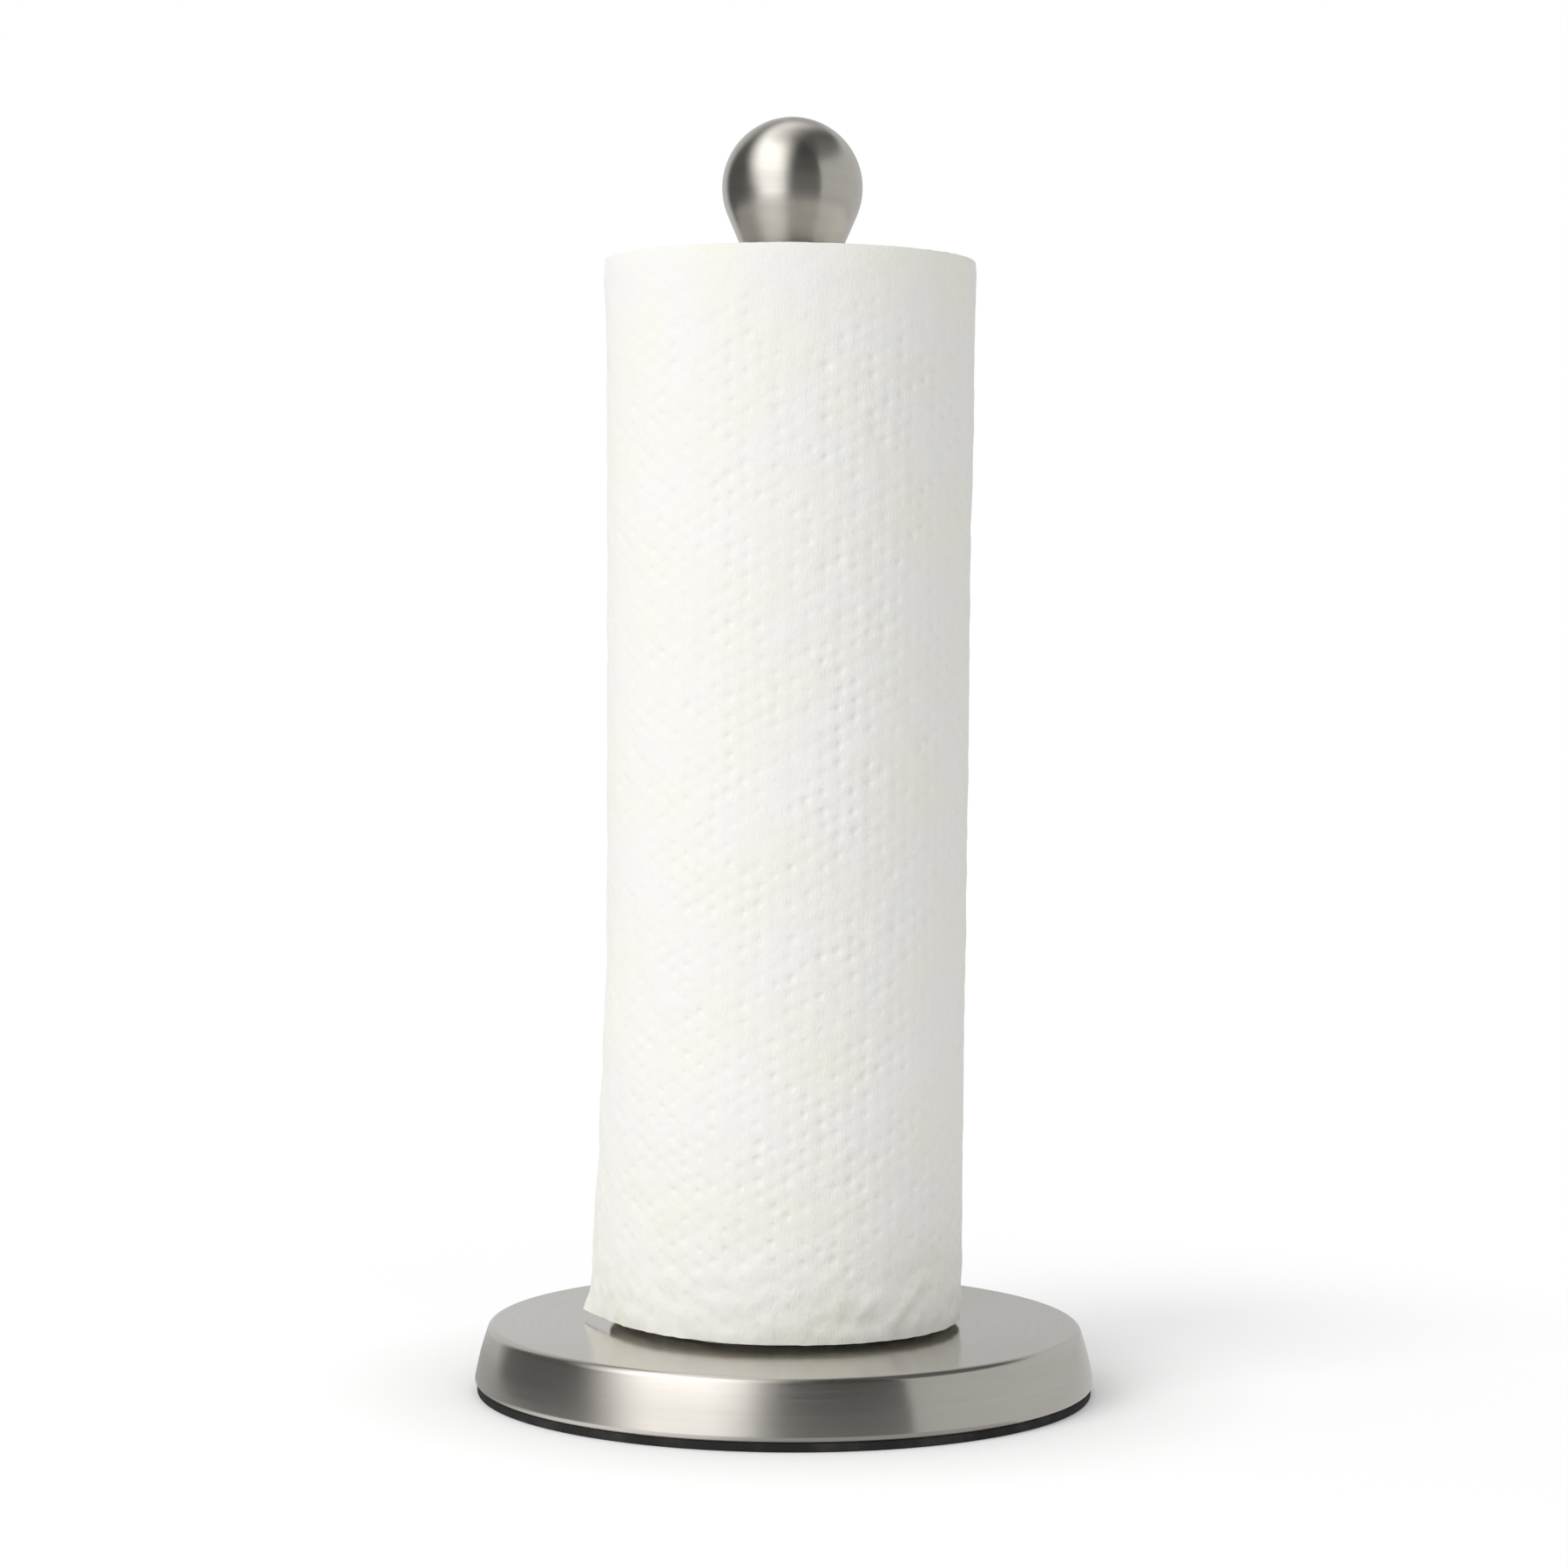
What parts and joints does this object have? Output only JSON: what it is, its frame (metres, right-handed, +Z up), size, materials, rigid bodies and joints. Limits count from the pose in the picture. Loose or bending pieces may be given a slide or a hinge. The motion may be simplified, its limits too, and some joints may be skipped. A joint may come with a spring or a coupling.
{
  "type": "paper towel holder",
  "caption": "Countertop paper towel holder with a weighted round base, an upright post ending in a drop-shaped finial, and a loaded paper roll that turns and lifts off.",
  "frame": {"origin": "centre of the base pad's underside, on the post's axis", "axes": "+Z up along the post, -Y towards the front of the picture, +X to its right"},
  "size_m": [0.1642, 0.1642, 0.3366],
  "materials": {
    "satin_steel": "satin, brushed round the axis",
    "cast_weight": "as cast",
    "soft_pad": "matte",
    "plated_steel": "bright zinc",
    "core_board": "spiral-wound board",
    "towel_paper": "embossed soft paper"
  },
  "bodies": {
    "holder": {"base_cover": "satin_steel", "base_weight": "cast_weight", "base_pad": "soft_pad", "post_bolt": "plated_steel", "lock_washer": "plated_steel", "flat_washer": "plated_steel", "post_tube": "satin_steel", "foot_insert": "plated_steel", "head_insert": "plated_steel", "finial": "satin_steel", "finial_plug": "plated_steel", "finial_stud": "plated_steel"},
    "roll_core": {"roll_core": "core_board"},
    "roll_paper": {"wound_paper": "towel_paper", "outer_sheet": "towel_paper"}
  },
  "joints": [
    {"name": "roll_lift", "type": "slide", "parent": "holder", "child": "roll_core", "axis": [0, 0, 1], "range_m": [0, 0.325]},
    {"name": "roll_spin", "type": "hinge", "parent": "roll_core", "child": "roll_paper", "pos_m": [0, 0, 0.15], "axis": [0, 0, 1], "continuous": true}
  ]
}
